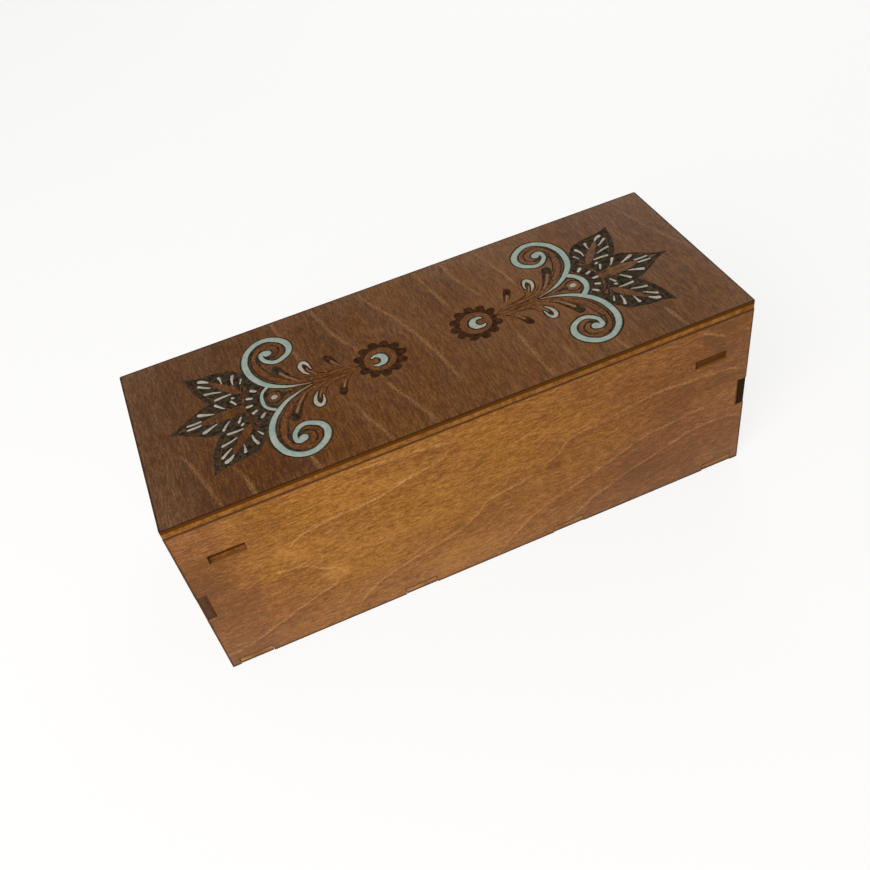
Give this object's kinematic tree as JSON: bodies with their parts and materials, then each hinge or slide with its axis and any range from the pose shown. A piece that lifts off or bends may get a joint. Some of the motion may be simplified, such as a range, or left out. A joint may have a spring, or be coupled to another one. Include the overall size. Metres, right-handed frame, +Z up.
{
  "type": "embroidery box",
  "caption": "Long plywood box with through-tenon corners, end shelves inside and a lift-off lid with a locating board.",
  "frame": {"origin": "middle of the underside, where the box rests", "axes": "+X to the right along the front, which is the box's longest way, +Y from the front to the back, +Z up"},
  "size_m": [0.24, 0.092, 0.09],
  "materials": {
    "wall_stain": "golden brown stain on birch plywood, satin",
    "lid_stain": "chocolate brown stain on birch plywood, satin",
    "inner_wood": "pale brown stain on birch plywood, matte",
    "burnt_wood": "burnt lines in the stained plywood, matte",
    "turquoise_paint": "hand-painted acrylic, satin",
    "white_paint": "hand-painted acrylic, satin"
  },
  "bodies": {
    "box": {"front_panel": "wall_stain", "back_panel": "wall_stain", "left_side_panel": "wall_stain", "right_side_panel": "wall_stain", "bottom_panel": "inner_wood", "left_end_shelf": "inner_wood", "right_end_shelf": "inner_wood"},
    "lid": {"lid_board": "lid_stain", "lid_locating_board": "inner_wood"}
  },
  "joints": [
    {"name": "lid_lift", "type": "slide", "parent": "box", "child": "lid", "axis": [0, 0, 1], "range_m": [0, 0.1]}
  ]
}
